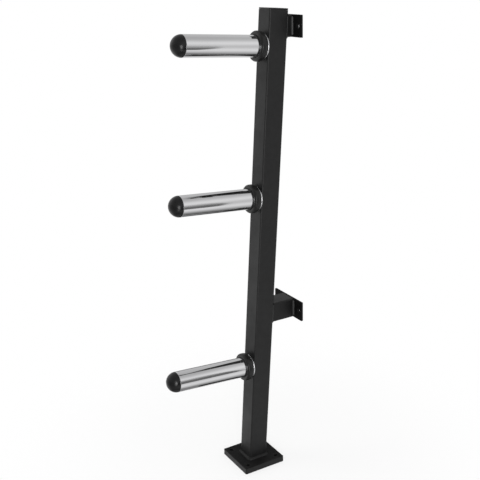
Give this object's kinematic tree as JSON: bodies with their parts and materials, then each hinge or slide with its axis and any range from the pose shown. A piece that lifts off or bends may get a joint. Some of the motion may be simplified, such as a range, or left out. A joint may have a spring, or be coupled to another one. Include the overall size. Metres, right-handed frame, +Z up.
{
  "type": "wall-mounted plate holder",
  "caption": "Leaning square post on a floor plate, held to the wall by stub brackets, with chromed pegs whose rounded ends take weight plates.",
  "frame": {"origin": "middle of the floor plate's underside", "axes": "+Z up, +Y towards the wall, the pegs reach out towards -Y, +X across the wall"},
  "size_m": [0.12, 0.3557, 1.1459],
  "materials": {
    "powder_coat": "satin black powder coat with a faint texture",
    "chrome": "polished chrome plate",
    "collar_rubber": "smooth black rubber with a soft sheen",
    "cap_plastic": "moulded black plastic, satin",
    "zinc_steel": "zinc-plated steel"
  },
  "bodies": {
    "root": {"post_tube": "powder_coat", "post_top_plug": "cap_plastic", "floor_plate": "powder_coat", "foot_weld": "powder_coat", "upper_wall_plate": "powder_coat", "upper_stub_tube": "powder_coat", "upper_post_weld": "powder_coat", "upper_plate_weld_left": "powder_coat", "upper_plate_weld_right": "powder_coat", "lower_wall_plate": "powder_coat", "lower_stub_tube": "powder_coat", "lower_post_weld": "powder_coat", "lower_plate_weld_left": "powder_coat", "lower_plate_weld_right": "powder_coat", "top_peg_sleeve": "chrome", "top_peg_flange": "chrome", "top_peg_boss": "zinc_steel", "top_peg_collar": "collar_rubber", "top_peg_end_cap": "cap_plastic", "top_peg_washer": "zinc_steel", "top_peg_bolt": "zinc_steel", "middle_peg_sleeve": "chrome", "middle_peg_flange": "chrome", "middle_peg_boss": "zinc_steel", "middle_peg_collar": "collar_rubber", "middle_peg_end_cap": "cap_plastic", "middle_peg_washer": "zinc_steel", "middle_peg_bolt": "zinc_steel", "bottom_peg_sleeve": "chrome", "bottom_peg_flange": "chrome", "bottom_peg_boss": "zinc_steel", "bottom_peg_collar": "collar_rubber", "bottom_peg_end_cap": "cap_plastic", "bottom_peg_washer": "zinc_steel", "bottom_peg_bolt": "zinc_steel"}
  },
  "joints": []
}
